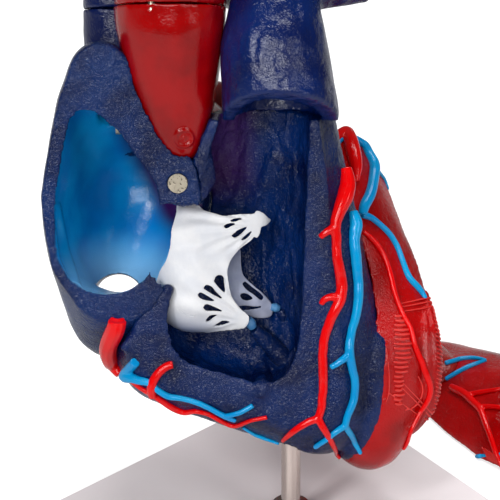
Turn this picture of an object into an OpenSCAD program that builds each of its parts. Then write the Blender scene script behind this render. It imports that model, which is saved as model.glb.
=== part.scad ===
// Life-size anatomical heart on a rod stand, with lift-off walls and crown. Millimetres.
// The table is z = 0, the stand rod stands on the Z axis, and the opened front of the heart faces -Y.

/* [Stand] */
// Width of the square base plate
plate_w = 110; // [104:1:114]
// Thickness of the base plate
plate_t = 8; // [7:0.5:10]
// Radius of the plate's corners
plate_r = 5; // [3:0.5:8]
// Turn of the plate about the rod, degrees
plate_turn = 40; // [0:5:90]
// Thickness of the rubber pad
pad_t = 1.5; // [1:0.25:2]
// Margin from the plate's edge to the pad's edge
pad_margin = 3; // [2:0.5:6]
// Diameter of the steel rod
rod_d = 6; // [5:0.5:7]
// Radial play of the rod in its bush and socket
rod_play = 0.05; // [0.03:0.01:0.1]

/* [Heart] */
// Height above the table of the foot of the heart's cut plane
heart_z = 46; // [44:1:50]
// Distance of that foot in front of the rod
heart_front = 12; // [11:0.5:13]
// Lean of the heart back from upright, degrees
lean = 20; // [18:1:22]
// Depth of the rod in the heart
rod_grip = 16; // [12:1:18]
// How far the vessels stand out from the castings
vessel_rise = 1.5; // [1:0.1:2]

/* [Removable walls] */
// Gap between a removable piece and its seat
gap = 0.3; // [0.3:0.1:0.6]
// Diameter of a magnet
magnet_d = 6; // [5:0.5:7]
// Thickness of a magnet
magnet_t = 2.5; // [2:0.25:3]

/* [Hidden] */

big = 400;
plate_top = pad_t + plate_t;
bush_d = 14;
bush_flange_d = 18;
bush_flange_t = 2;
bush_depth = 5;
collar_d = 12;
collar_t = 4;
socket_d = 10;
heart_entry = 43.5;             // height where the rod enters the heart
sight = 14;                     // the usual viewing side looks down on the cut plane by this angle
seam_height = 135.4;            // the crown's seam, measured up the picture plane of that side
seam_y = -25.5;
seam_magnet_d = 2.2;
seam_magnet_t = 2;
rim = 104;                      // where the front wall meets the pulmonary trunk
rim_slope = 0.78;
cava_r = 9.5;
cava_low_r = 10.5;
leaflet_t = 1.4;
rest_gap = 0.3;                 // a wall's lowest point lies this far above the table
// The front wall swings about a line below and in front of its seat, and lies open side up
front_depth = 29.9;
hinge_out = 17;
front_swing = 90 + lean;
hinge_down = (heart_z + hinge_out * (1 + sin(lean)) - front_depth - rest_gap) / cos(lean);
hinge_y = -heart_front - hinge_out * cos(lean) - hinge_down * sin(lean);
hinge_z = heart_z + hinge_out * sin(lean) - hinge_down * cos(lean);
// The left wall's cut faces this way in plan, at this distance, and the wall lies on it
left_side = 37;
left_plane = 48.2;
left_front = 29.5;
left_mid = 40;
left_across = 18;
left_rest = [68.5, 74.4];
left_rest_turn = -25;

// Solid forms of the chambers: centre x, y, z and radius of the spheres that each is stretched over,
// in the heart's own frame: x to the right, y into the depth behind the cut plane, z up along it.
RA = [[-52, 3, 80, 25], [-55, 4, 104, 17.5], [-58, 4, 118, 10], [-54, 6, 66, 22],
      [-54, 22, 39, 15.5], [-46, 27, 74, 22], [-52, -8, 84, 17]];
RA_IN = [[-56.5, 4, 76, 16.3], [-56.5, 4, 65, 16.2], [-61, 6, 97, 9.5], [-64, 7, 106.5, 5.3],
         [-48, 27, 74, 17], [-52, 24, 58, 13.5], [-56.5, -6, 81, 12.5]];
RV = [[-36, 15, 30, 19.5], [-6, 14.5, 19.5, 18], [9, 15, 9.5, 15], [-8, 4, 102, 17],
      [-16, -6, 56, 23], [-22, 14, 62, 21], [-14, 12, 84, 16]];
RV_BAND = [[0, 14, 12, 13], [11, 14, 10, 13.5], [17, 14.5, 30, 12], [11, 11, 64, 10.5],
      [0, 12, 64, 11], [-3, 14, 30, 13], [2.5, 12, 103, 10.5]];
RV_IN = [[-26, 8, 38, 14], [-9, 7, 31, 12], [-20, 10, 62, 16], [-9, 3, 88, 13.5],
         [-8, 1, 104, 13.3], [-16, -6, 55, 18.5]];
LV = [[24.5, 21, -0.3, 12.4], [24, 32, 24, 27], [14, 38, 48, 26], [6, 41, 69, 24.5]];
LV_IN = [[24, 28, 10, 6], [26, 35, 25, 18.5], [14, 39, 46, 16], [8, 43, 69, 13]];
LA = [[-4, 48, 86, 16], [-26, 44, 90, 17], [-14, 52, 84, 17]];
LA_IN = [[-5, 48, 87, 11], [-25, 45, 90, 12], [-14, 51, 85, 12]];
AORTA = [[-33.4, 5.5, 95.6, 6.2], [-34.6, 6.5, 102, 9.3], [-35.3, 8.5, 110.3, 12.7],
    [-36.5, 9, 120, 15.1], [-37, 8, 133, 17], [-37, 8, 146, 17.2]];
AORTA_IN = [[-35, 10, 107, 7], [-36, 10, 120, 12], [-37, 8, 150, 14.2]];
AORTA_FOOT = [[-34.5, 13, 104, 9], [-20, 33, 88, 9.5]];
OUTFLOW = [[-34.5, 13, 104, 6], [-20, 33, 88, 6.5], [3, 39, 72, 7]];
TRUNK = [[-3.6, 0.5, 107, 17.8], [-5.6, 3, 126, 16.3], [-5, 10, 142, 13]];
TRUNK_IN = [[-4, 0.5, 102, 13.5], [-5, 3, 126, 12], [-5, 10, 142, 9.5]];

// Routes of the great vessels
CAVA = [[-52, 22, 98], [-54.5, 28, 124], [-55, 29, 160]];
CAVA_LOW = [[-54, 18, 43.3], [-54, 36, 38.8], [-54, 50, 35.3]];
LUNG_VEINS = [[[-30, 48, 92], [-50, 60, 95]], [[-28, 50, 80], [-48, 62, 78]],
    [[-4, 54, 86], [10, 68, 78]], [[-8, 58, 76], [6, 71, 65]]];
LUNG_ARTERIES = [[[-5, 12, 141], [6, 17, 143], [22, 22, 144]],
    [[-6, 14, 140], [-16, 29, 141], [-34, 41, 141], [-50, 48, 139]]];
ARCH = [[-37, 8, 136], [-36.5, 9, 156], [-29, 15, 171], [-15, 27, 177], [-1, 39, 170],
    [6, 47, 156], [8, 51, 139]];
ARCH_STUBS = [[[-31, 13, 174], [-34, 7, 199], 6], [[-17, 25, 180], [-18, 19, 203], 4.8],
    [[-5, 35, 176], [-2, 30, 201], 5]];
CAVA_STUBS = [[[-54, 28, 160], [-58, 25, 172], [-64, 20, 187]],
    [[-54, 27, 162], [-52, 12, 178], [-42, -6, 190]]];

// Leaflets on the picture plane of the viewing side: across and up
VEIL = [[-31, 16, 62, 13], [-30, 15, 47, 12.5], [-15, 12, 40, 5], [-12, 13, 72, 5]];
LEAF_UP = [[-35, 76], [-29.5, 76], [-27, 73], [-18, 72.5], [-9.5, 74.5], [-8, 71], [-11, 67],
    [-14, 64], [-17, 59], [-28, 57.5], [-41, 58.2], [-38, 67], [-36, 71]];
LEAF_LOW = [[-41, 57], [-28, 56.3], [-17.4, 57.4], [-19, 53], [-18.5, 47], [-13.5, 40.2],
    [-14.5, 38.6], [-22, 36.5], [-30, 36], [-36, 38], [-40, 42], [-42, 49]];
LEAF_BACK = [[-16, 60], [-14, 53.5], [-7, 46.5], [-6.2, 43.8], [-8, 41.8], [-11, 41.6],
    [-16.3, 44.8], [-19.2, 49.4], [-19, 56]];
SLOTS_UP = [[-19, 68.6, 4, 1.4, 20], [-16.6, 66.8, 5, 1.6, 32], [-14.4, 65.6, 4, 1.2, 48],
    [-17.6, 71, 4, 0.8, 12]];
SLOTS_LOW = [[-22.6, 51.5, 6, 2.8, -60], [-24.2, 48.4, 6.5, 2, -42], [-25.6, 45.8, 5.5, 1.8, -24],
    [-24.6, 42.6, 5, 1.6, -6], [-24, 39.8, 4, 1.4, 14]];
SLOTS_BACK = [[-11.9, 49.3, 7.5, 2.2, -46], [-13.8, 46.8, 4.5, 2.2, -32], [-11.8, 44.3, 6, 1.4, -10]];
PAPILLARY = [[[4, 17, 18], [-6, 15, 29], [-11.6, 12.5, 35.2]],
    [[8, 20, 28], [0, 19, 36], [-3.6, 17.5, 40.4]]];
LEFT_PAPILLARY = [[[24, 31, 8], [20, 36, 28], [14, 38, 44]], [[28, 42, 12], [24, 46, 30], [17, 45, 44]]];

// Coronary vessels, drawn on the same picture plane
DESCENDING = [[14, 100.5], [16.5, 96], [18.5, 90.5], [19.5, 84.5], [16, 78], [13, 69], [13, 58.5],
    [15.5, 51], [15.5, 45], [11.5, 35.5], [10, 29.5], [9.5, 18], [8.5, 10.5]];
DESCENDING_TWIGS = [[[8.5, 11], [2.5, 6.5], [-2.5, 3]], [[8.5, 11], [11.5, 3.5], [15, -2.5]],
    [[13, 67.5], [8, 65]], [[15.5, 48.5], [11.5, 47.5], [9, 45]]];
LATERAL = [[21.5, 73], [26, 66], [29.5, 58.5], [31, 49.5], [33, 43.5], [36.5, 35.5], [39, 29.5],
    [41.5, 22], [41, 17.5], [38, 12], [34, 2]];
MARGINAL = [[-49.5, 22], [-40.5, 15.5], [-31, 13], [-26.5, 13.2], [-20.5, 10.5], [-16.5, 8.2],
    [-13, 10], [-7.5, 10.5]];
MARGINAL_TWIG = [[-43.2, 17.2], [-43, 20.5], [-41, 24.5], [-38.5, 26.5], [-36, 27]];
RIGHT_CORONARY = [[-53, 3.5, 41.5], [-56.5, 2.5, 33], [-56, 4.5, 28], [-52.5, 8, 23.5]];
GREAT_VEIN = [[15, 100], [19.5, 96], [22.5, 90.5], [24.5, 86], [24, 80], [20.5, 74], [18, 68],
    [18.5, 61.5], [20.5, 55.5], [20.5, 46.5], [19, 38.5], [16, 28.5], [18.5, 22], [18.5, 16], [16, 7.5]];
GREAT_TWIGS = [[[16, 28.5], [11.5, 26]], [[16, 8], [7, 1.5]], [[16, 8], [21.5, -0.5]]];
LATERAL_VEIN = [[[22.5, 73.5], [28.5, 69], [31.5, 63], [33.5, 55.5], [36, 51], [41, 46.5]],
    [[24.5, 86], [30.5, 80]]];
SMALL_VEIN = [[[-53, 24], [-48.5, 23], [-44, 20.5], [-37, 17.2], [-29.5, 15.2], [-23.5, 13], [-17, 10.5]],
    [[-20.5, 12], [-11, 14.5]], [[-14.5, 7.5], [-9, 4.5], [-3.5, 1.5]]];
BACK_VEINS = [[[38, 50], [24, 62], [8, 66], [-10, 63], [-28, 56]], [[-12, 62], [-3, 44], [4, 26], [14, 10]]];
BACK_ARTERY = [[-34, 50], [-18, 58], [-8, 48], [0, 30], [10, 12]];
FRONT_ARTERY = [[-34, 92], [-32, 80], [-33, 68], [-38, 56], [-46, 47]];
FRONT_ARTERY_TWIGS = [[[-33, 71], [-22, 61.5], [-8, 54]], [[-37, 58], [-28, 44], [-14, 34]]];
FRONT_VEIN = [[-38.5, 88], [-37, 74], [-40, 60], [-48, 50]];
FRONT_VEIN_TWIGS = [[[-28, 38], [-12, 44], [0, 56]], [[-12, 44], [-4, 34]]];
// On the left wall as it lies: along it towards the apex, and across it
LEFT_WALL_ARTERY = [[-36, 2], [-22, -4], [-10, -9], [2, -12], [14, -12], [24, -8]];
LEFT_WALL_TWIGS = [[[-10, -9], [2, -3], [14, 0]], [[-22, -4], [-10, 4], [2, 8]]];
LEFT_WALL_VEIN = [[-40, 12], [-28, 9], [-18, 12], [-8, 20]];
FRONT_MAGNETS = [[-34.8, 84.3]];
LEFT_MAGNETS = [[8, 2], [26, 66]];
AURICLE = [[-48, -20, 98, 8], [-40, -17, 102, 7], [-32, -14, 100, 5.5]];
LEFT_LOBE = [[30, 46, 60, 9], [24, 51, 68, 9], [18, 54, 76, 8]];

// ---- helpers -------------------------------------------------------------------------------

function fan(n) = [for (i = [0 : n - 1]) 360 * i / n];
function unit(v) = v / norm(v);
function bend(p0, p1, p2, p3, t) = 0.5 * (2 * p1 + (p2 - p0) * t
    + (2 * p0 - 5 * p1 + 4 * p2 - p3) * t * t + (3 * p1 - p0 - 3 * p2 + p3) * t * t * t);
// Smooth open curve through points, n steps between two of them
function curve(p, n) = concat([for (i = [0 : len(p) - 2]) for (k = [0 : n - 1])
    bend(p[max(i - 1, 0)], p[i], p[i + 1], p[min(i + 2, len(p) - 1)], k / n)], [p[len(p) - 1]]);
// Smooth closed curve through points
function ring(p, n) = let (m = len(p)) [for (i = [0 : m - 1]) for (k = [0 : n - 1])
    bend(p[(i - 1 + m) % m], p[i], p[(i + 1) % m], p[(i + 2) % m], k / n)];
// Flat ribbon outline along points, from width w0 to width w1
function ribbon(p, w0, w1) = let (n = len(p) - 1,
    side = [for (i = [0 : n]) let (d = unit(p[min(i + 1, n)] - p[max(i - 1, 0)]))
        [-d[1], d[0]] * (w0 + (w1 - w0) * i / n) / 2])
    concat([for (i = [0 : n]) p[i] + side[i]], [for (i = [n : -1 : 0]) p[i] - side[i]]);

// The heart's own frame
module heart_frame() {
    translate([0, -heart_front, heart_z]) rotate([-lean, 0, 0]) children();
}
// Drawing on the picture plane of the usual viewing side, carried through the whole heart
module seen_from_front(deep = 40, near = -40) {
    rotate([90 - sight, 0, 0]) translate([0, 0, -deep]) linear_extrude(deep - near) children();
}
module seen_from_back(near = 10, far = 70) {
    rotate([90, 0, 0]) translate([0, 0, -far]) linear_extrude(far - near) children();
}
module stroke(p, w0, w1) { polygon(ribbon(curve(p, 2), w0, w1)); }
// Rounded form stretched over spheres
module form(s, grow = 0, fn = 18) {
    hull() for (p = s) translate([p[0], p[1], p[2]]) sphere(r = p[3] + grow, $fn = fn);
}
// A moulded casting is one closed skin
module moulded() { resize([0, 0, 0]) children(); }
module behind() { translate([-big / 2, 0, -big / 2]) cube(big); }
// Tube along points, radius r0 to r1, its facets turned by its radius so that no two tubes' facets meet
module tube(p, r0, r1, sides = 12) {
    n = len(p) - 1;
    dirs = [for (i = [0 : n]) unit(p[min(i + 1, n)] - p[max(i - 1, 0)])];
    points = concat([for (i = [0 : n]) let (d = dirs[i],
            a = unit(cross(d, abs(d[1]) < 0.9 ? [0, 1, 0] : [1, 0, 0])), b = cross(a, d),
            r = r0 + (r1 - r0) * i / n)
        for (t = fan(sides)) p[i] + r * (a * cos(t + 5 * r0) + b * sin(t + 5 * r0))], [p[0], p[n]]);
    faces = concat(
        [for (i = [0 : n - 1]) for (k = [0 : sides - 1]) let (q = (k + 1) % sides)
            for (f = [[0, 1, 2], [0, 2, 3]])
                let (c = [i * sides + k, i * sides + q, (i + 1) * sides + q, (i + 1) * sides + k])
                    [c[f[0]], c[f[1]], c[f[2]]]],
        [for (k = [0 : sides - 1]) [len(points) - 2, (k + 1) % sides, k]],
        [for (k = [0 : sides - 1]) [len(points) - 1, n * sides + k, n * sides + (k + 1) % sides]]);
    polyhedron(points, faces);
}

// ---- stand ---------------------------------------------------------------------------------

module rounded_slab(w, r, t) {
    for (s = [[w, w - 2 * r], [w - 2 * r, w]])
        translate([-s[0] / 2, -s[1] / 2, 0]) cube([s[0], s[1], t]);
    for (x = [-1, 1]) for (y = [-1, 1])
        translate([x * (w / 2 - r), y * (w / 2 - r), 0]) cylinder(r = r, h = t, $fn = 64);
}
module base_pad() {
    color("dimgray") rotate(plate_turn)
        rounded_slab(plate_w - 2 * pad_margin, plate_r, pad_t);
}
module base_plate() {
    color("lightgray") difference() {
        rotate(plate_turn) translate([0, 0, pad_t]) rounded_slab(plate_w, plate_r, plate_t);
        translate([0, 0, plate_top - bush_depth]) cylinder(d = bush_d, h = big, $fn = 64);
    }
}
module rod_bush() {
    color("silver") difference() {
        union() {
            translate([0, 0, plate_top - bush_depth]) cylinder(d = bush_d, h = bush_depth, $fn = 64);
            translate([0, 0, plate_top]) cylinder(d = bush_flange_d, h = bush_flange_t, $fn = 64);
        }
        translate([0, 0, plate_top - bush_depth + 1])
            cylinder(d = rod_d + 2 * rod_play, h = big, $fn = 64);
    }
}
module rod() {
    foot = plate_top - bush_depth + 1 + rod_play;
    color("silver") translate([0, 0, foot])
        cylinder(d = rod_d, h = heart_entry + rod_grip - foot, $fn = 64);
}
module rod_collar() {
    color("silver") translate([0, 0, plate_top + bush_flange_t + rod_play]) difference() {
        cylinder(d = collar_d, h = collar_t, $fn = 64);
        translate([0, 0, -1]) cylinder(d = rod_d, h = collar_t + 2, $fn = 64);
    }
}
module rod_socket() {
    color("gainsboro") difference() {
        translate([0, 0, heart_entry]) cylinder(d = socket_d, h = rod_grip + 2, $fn = 64);
        translate([0, 0, heart_entry - 1])
            cylinder(d = rod_d + 2 * rod_play, h = rod_grip + 1 + rod_play, $fn = 64);
    }
}
// The casting's pocket for that sleeve, in the heart's own frame
module socket_pocket() {
    rotate([lean, 0, 0]) translate([0, heart_front, heart_entry - 12 - heart_z])
        cylinder(d = socket_d + 0.2, h = rod_grip + 14.1, $fn = 32);
}

// ---- solid forms and hollows, in the heart's own frame ------------------------------------

// The right ventricle laps over the left one by this much
module right_body(grow = 0) {
    difference() {
        union() {
            intersection() { form(RV, grow); behind(); }
            form(RV_BAND, grow);
        }
        form(LV, -5);
    }
}
module above(height, rise = 0) {
    rotate([-rise, 0, 0]) translate([-big / 2, -big / 2, height]) cube(big);
}
module above_seam(lift = 0) { above(seam_height + lift, sight); }
// What lies over the cut that frees the front wall from the pulmonary trunk
module above_rim(drop = 0) {
    rotate([90, 0, 90]) translate([0, 0, -big / 2]) linear_extrude(big)
        polygon([[-60, rim + 60 * rim_slope - drop], [0, rim - drop], [60, rim - drop],
            [60, big], [-60, big]]);
}
module aorta_form(grow = 0) {
    form(AORTA, grow);
    form(AORTA_FOOT, grow);
}
module trunk_form(grow = 0) {
    intersection() {
        form(TRUNK, grow);
        above_rim(grow);
    }
}
module atrium_hollow() {
    form(RA_IN);
    tube(CAVA, cava_r - 2, cava_r - 2, 16);
    tube([CAVA_LOW[0], CAVA_LOW[1], 2 * CAVA_LOW[2] - CAVA_LOW[1]],
        cava_low_r - 2.5, cava_low_r - 2.5, 16);
}
module tricuspid_way(grow = 0) {
    form([[-46, 15, 56, 12], [-28, 11, 54, 14], [-34, 6, 68, 10], [-44, 8, 66, 10]], grow);
}
module mitral_way() { form([[-3, 48, 86, 8], [7, 43, 72, 9]]); }
// The cut that frees the left wall, and the slanting face at its front edge
module left_cut(clear = 0) {
    rotate([0, 0, left_side]) translate([left_plane + clear, -big / 2, -big / 2]) cube(big);
}
module left_chamfer() {
    rotate([0, 0, -left_side]) translate([left_front, -big / 2, -big / 2]) cube(big);
}
module disc(place, turn, d, t) {
    translate(place) rotate(turn) cylinder(d = d, h = t, $fn = 32);
}
module front_magnet_places(t, play = 0) {
    for (p = FRONT_MAGNETS)
        disc([p[0], t > 0 ? -play : play, p[1]], [t > 0 ? -90 : 90, 0, 0],
            magnet_d + 2 * play, abs(t) + 2 * play);
}
module side_magnet_place(play = 0) {
    disc([-53.6 - play, 5, 101], [0, 90, 0], 5 + 2 * play, 1.6 + 2 * play);
}
module left_magnet_places(play = 0) {
    rotate([0, 0, left_side]) for (p = LEFT_MAGNETS)
        translate([left_plane + play, p[0], p[1]]) rotate([0, -90, 0])
            cylinder(d = magnet_d + 2 * play, h = magnet_t + 2 * play, $fn = 32);
}
module seam_magnet_places(up, play = 0) {
    for (t = [70, 160, 250, 340])
        rotate([-sight, 0, 0]) translate([-37 + 15.6 * cos(t), seam_y + 15.6 * sin(t),
            seam_height + (up > 0 ? gap - play : -seam_magnet_t - play)])
            cylinder(d = seam_magnet_d + 2 * play, h = seam_magnet_t + 2 * play, $fn = 16);
}

// ---- heart castings ------------------------------------------------------------------------

module right_atrium() {
    color("royalblue") heart_frame() moulded() difference() {
        intersection() { form(RA); behind(); }
        atrium_hollow();
        tricuspid_way();
        aorta_form();
        front_magnet_places(magnet_t, 0.05);
        side_magnet_place(0.05);
    }
}
module vena_cava_stump() {
    color("royalblue") heart_frame() moulded() difference() {
        tube(CAVA, cava_r, cava_r, 20);
        atrium_hollow();
        form(RA);
        form(RV);
        aorta_form();
        above_seam();
    }
}
module inferior_vena_cava() {
    color("royalblue") heart_frame() moulded() difference() {
        tube(CAVA_LOW, cava_low_r, cava_low_r, 20);
        atrium_hollow();
        form(RA);
        form(RV);
    }
}
module right_ventricle() {
    color("midnightblue") heart_frame() moulded() difference() {
        right_body();
        form(RV_IN);
        form(RA);
        tricuspid_way();
        aorta_form();
        trunk_form();
        above_rim();
        socket_pocket();
    }
}
module left_ventricle() {
    color("firebrick") heart_frame() moulded() difference() {
        form(LV);
        right_body();
        form(RA);
        aorta_form();
        trunk_form();
        form(LV_IN);
        form(OUTFLOW);
        mitral_way();
        left_cut();
        left_chamfer();
        left_magnet_places(0.05);
        socket_pocket();
    }
}
module left_atrium() {
    color("indianred") heart_frame() moulded() difference() {
        form(LA);
        form(RA);
        form(RV);
        form(LV);
        aorta_form();
        form(LA_IN);
        mitral_way();
        for (p = LUNG_VEINS) tube(p, 4, 4, 16);
    }
}
module pulmonary_veins() {
    color("indianred") heart_frame() moulded() difference() {
        for (p = LUNG_VEINS) tube(p, 6, 6, 16);
        for (p = LUNG_VEINS) tube([p[0], 2 * p[1] - p[0]], 4, 4, 16);
        form(LA);
        form(RA);
        form(LV);
        aorta_form();
    }
}
module aortic_root() {
    color("firebrick") heart_frame() moulded() difference() {
        aorta_form();
        form(AORTA_IN);
        form(OUTFLOW);
        above_seam();
        seam_magnet_places(-1, 0.05);
    }
}
module pulmonary_trunk() {
    color("midnightblue") heart_frame() moulded() difference() {
        union() {
            trunk_form();
            for (p = LUNG_ARTERIES) tube(curve(p, 2), 9, 8, 16);
        }
        form(TRUNK_IN);
        for (p = LUNG_ARTERIES) tube(curve(concat([p[0]], [for (i = [1 : len(p) - 1]) p[i]],
            [2 * p[len(p) - 1] - p[len(p) - 2]]), 2), 6.5, 5.5, 16);
        aorta_form();
    }
}

// ---- valves and muscles --------------------------------------------------------------------

module slots(list) {
    for (s = list) translate([s[0], s[1]]) rotate(s[4]) scale([s[2], s[3]]) circle(d = 1, $fn = 12);
}
// The hollow that the leaflets hang in, drawn in by a gap in front of the cut plane
module right_way(grow) {
    form(RV_IN, grow);
    tricuspid_way(grow);
    intersection() { union() { form(RV_IN); tricuspid_way(); } behind(); }
}
// The atrium's wall round the leaflets, grown by a gap
module atrium_edge() {
    difference() {
        intersection() { form(RA, gap); translate([0, -gap, 0]) behind(); }
        tricuspid_way(-gap);
        form(RA_IN, -gap);
    }
}
module veil(grow) { form(VEIL, grow, 32); }
module tricuspid_sheet(outline, holes) {
    color("white") heart_frame() moulded() intersection() {
        seen_from_front(2, -40) difference() {
            polygon(ring(outline, 3));
            slots(holes);
        }
        difference() { veil(leaflet_t); veil(0); }
        difference() {
            right_way(-gap);
            atrium_edge();
        }
    }
}
module tricuspid_front() { tricuspid_sheet(LEAF_UP, SLOTS_UP); }
module tricuspid_lower() { tricuspid_sheet(LEAF_LOW, SLOTS_LOW); }
module tricuspid_back() {
    color("gainsboro") heart_frame() seen_from_front(3.8, 2.4) difference() {
        polygon(ring(LEAF_BACK, 2));
        slots(SLOTS_BACK);
    }
}
module papillary_muscles() {
    color("navy") heart_frame() moulded() intersection() {
        for (p = PAPILLARY) tube(curve(p, 3), 4.5, 1.8);
        form(RV_IN);
    }
}
module papillary_tips() {
    color("steelblue") heart_frame() moulded() intersection() {
        for (p = PAPILLARY) {
            n = len(p) - 1;
            d = unit(p[n] - p[n - 1]);
            tube([p[n] + d * 0.1, p[n] + d * 2.6], 1.7, 1.1);
        }
        form(RV_IN, -0.1);
    }
}
// Three cups round an axis
module cusps(place, lean_x, r, t) {
    translate(place) rotate([lean_x, 0, 0]) difference() {
        for (a = fan(3)) rotate(a + 30) translate([r - t / 2, 0, 0]) sphere(r = r, $fn = 14);
        for (a = fan(3)) rotate(a + 30) translate([r - t / 2, 0, 0]) sphere(r = r - t, $fn = 14);
        translate([-big / 2, -big / 2, 0]) cube(big);
    }
}
module pulmonary_valve() {
    color("ivory") heart_frame() moulded() cusps([-4.6, 2, 120], 0, 6.1, 1);
}
module aortic_valve() {
    color("ivory") heart_frame() moulded() cusps([-35.4, 10, 112], 0, 4, 0.9);
}
module mitral_valve() {
    color("ivory") heart_frame() moulded() difference() {
        hull() {
            translate([7, 43, 71]) rotate([-20, 20, 0]) cylinder(r = 8.6, h = 1, $fn = 24);
            translate([11, 40, 56]) rotate([-20, 20, 0]) cylinder(r = 3.5, h = 1, $fn = 24);
        }
        hull() {
            translate([6.6, 43.2, 73]) rotate([-20, 20, 0]) cylinder(r = 7.8, h = 1, $fn = 24);
            translate([11.3, 39.8, 55]) rotate([-20, 20, 0]) cylinder(r = 2.3, h = 1, $fn = 24);
        }
    }
}
module left_papillary() {
    color("brown") heart_frame() moulded() intersection() {
        for (p = LEFT_PAPILLARY) tube(curve(p, 3), 4, 1.6);
        form(LV_IN);
    }
}

// ---- vessels on the heart --------------------------------------------------------------------

module heart_skin(grow) {
    right_body(grow);
    intersection() { form(RA, grow); behind(); }
    form(LV, grow);
    form(LA, grow);
}
// Strokes laid on the heart's surface, standing out by the vessel's rise
module on_heart() {
    moulded() difference() {
        intersection() { children(); heart_skin(vessel_rise); }
        form(RA);
        form(LV);
        form(LA);
        right_body();
        trunk_form();
        aorta_form();
        left_cut(-0.01);
        left_chamfer();
    }
}
module arteries_drawn() {
    stroke(DESCENDING, 5, 2.6);
    for (p = DESCENDING_TWIGS) stroke(p, 2.6, 1.8);
    stroke(LATERAL, 3, 2);
    stroke(MARGINAL, 2.6, 1.8);
    stroke(MARGINAL_TWIG, 2.6, 2.2);
}
module descending_artery() {
    color("red") heart_frame() on_heart() seen_from_front(21, -60) {
        stroke(DESCENDING, 5, 2.6);
        for (p = DESCENDING_TWIGS) stroke(p, 2.6, 1.8);
    }
}
module lateral_artery() {
    color("red") heart_frame() on_heart() seen_from_front(21, -60) stroke(LATERAL, 3, 2);
}
module marginal_artery() {
    color("red") heart_frame() on_heart() seen_from_front(14, -60) {
        stroke(MARGINAL, 2.6, 1.8);
        stroke(MARGINAL_TWIG, 2.6, 2.2);
    }
}
module coronary_tube(grow = 0) { tube(curve(RIGHT_CORONARY, 3), 2.8 + grow, 1.9 + grow, 16); }
module right_coronary() {
    color("red") heart_frame() moulded() difference() {
        coronary_tube();
        form(RA);
        form(RV);
        tube([RIGHT_CORONARY[0] - [-0.4, 0.5, -2], RIGHT_CORONARY[0]], 1.5, 1.5, 16);
    }
}
module great_vein() {
    color("deepskyblue") heart_frame() on_heart() seen_from_front(21, -60) difference() {
        union() {
            stroke(GREAT_VEIN, 4, 2.8);
            for (p = GREAT_TWIGS) stroke(p, 2.6, 2);
        }
        offset(0.15) arteries_drawn();
    }
}
module lateral_vein() {
    color("deepskyblue") heart_frame() on_heart() seen_from_front(21, -60) difference() {
        for (p = LATERAL_VEIN) stroke(p, 4, 2.4);
        offset(0.15) arteries_drawn();
        offset(0.05) stroke(GREAT_VEIN, 4, 2.8);
    }
}
module small_vein() {
    color("deepskyblue") heart_frame() on_heart() difference() {
        seen_from_front(14, -60) difference() {
            for (p = SMALL_VEIN) stroke(p, 3, 1.8);
            offset(0.15) arteries_drawn();
        }
        coronary_tube(0.1);
    }
}
module coronary_sinus() {
    color("deepskyblue") heart_frame() on_heart() difference() {
        seen_from_back(30, 80) difference() {
            for (p = BACK_VEINS) stroke(p, 5.5, 3);
            offset(0.15) stroke(BACK_ARTERY, 3.4, 2);
        }
        for (p = LUNG_VEINS) tube(p, 6.2, 6.2, 16);
    }
}
module back_artery() {
    color("red") heart_frame() on_heart() seen_from_back(30, 80) stroke(BACK_ARTERY, 3.4, 2);
}
module heart_magnets() {
    color("silver") heart_frame() {
        front_magnet_places(magnet_t);
        side_magnet_place();
        left_magnet_places();
        seam_magnet_places(-1);
    }
}

// ---- crown -----------------------------------------------------------------------------------

module arch_outside() {
    intersection() {
        union() { form(AORTA); tube(curve(ARCH, 2), 16.8, 10.5, 18); }
        above_seam(gap);
    }
}
module arch_inside() {
    form(AORTA_IN);
    tube(curve(concat(ARCH, [ARCH[6] + [1, 3, -12]]), 2), 13.8, 7.5, 16);
}
module aortic_arch() {
    color("firebrick") heart_frame() moulded() difference() {
        arch_outside();
        arch_inside();
        for (b = ARCH_STUBS) tube([b[0], b[1]], b[2] - 2, b[2] - 2, 16);
        seam_magnet_places(1, 0.05);
    }
}
module arch_branches() {
    color("firebrick") heart_frame() moulded() difference() {
        for (b = ARCH_STUBS) tube([b[0], b[1]], b[2], b[2], 16);
        for (b = ARCH_STUBS) tube([b[0], 2 * b[1] - b[0]], b[2] - 2, b[2] - 2, 16);
        arch_outside();
        arch_inside();
    }
}
module cava_outside() {
    intersection() {
        union() {
            tube(CAVA, cava_r, cava_r, 20);
            for (p = CAVA_STUBS) tube(curve(p, 2), 7.5, 6.5, 16);
        }
        above_seam(gap);
    }
}
module upper_vena_cava() {
    color("royalblue") heart_frame() moulded() difference() {
        cava_outside();
        tube(concat([CAVA[0]], [CAVA[1]], [CAVA[2] - [0, 0, 2]]), cava_r - 2, cava_r - 2, 20);
        for (p = CAVA_STUBS) tube(concat([p[0]], [p[1]], [2 * p[2] - p[1]]), 5.2, 4.6, 16);
    }
}
module crown_web() {
    color("royalblue") heart_frame() moulded() difference() {
        translate([-47.9, 21.6, 144]) cylinder(r = 5, h = 18, $fn = 24);
        arch_outside();
        cava_outside();
        form(AORTA);
    }
}
module crown_magnets() { color("silver") heart_frame() seam_magnet_places(1); }

// ---- front wall, lying open side up in front of the stand ----------------------------------------

module lying_front() {
    translate([0, hinge_y, hinge_z]) rotate([front_swing, 0, 0])
        translate([0, -hinge_y, -hinge_z]) heart_frame() children();
}
module front_side() { translate([-big / 2, -big - gap, -big / 2]) cube(big); }
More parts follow.
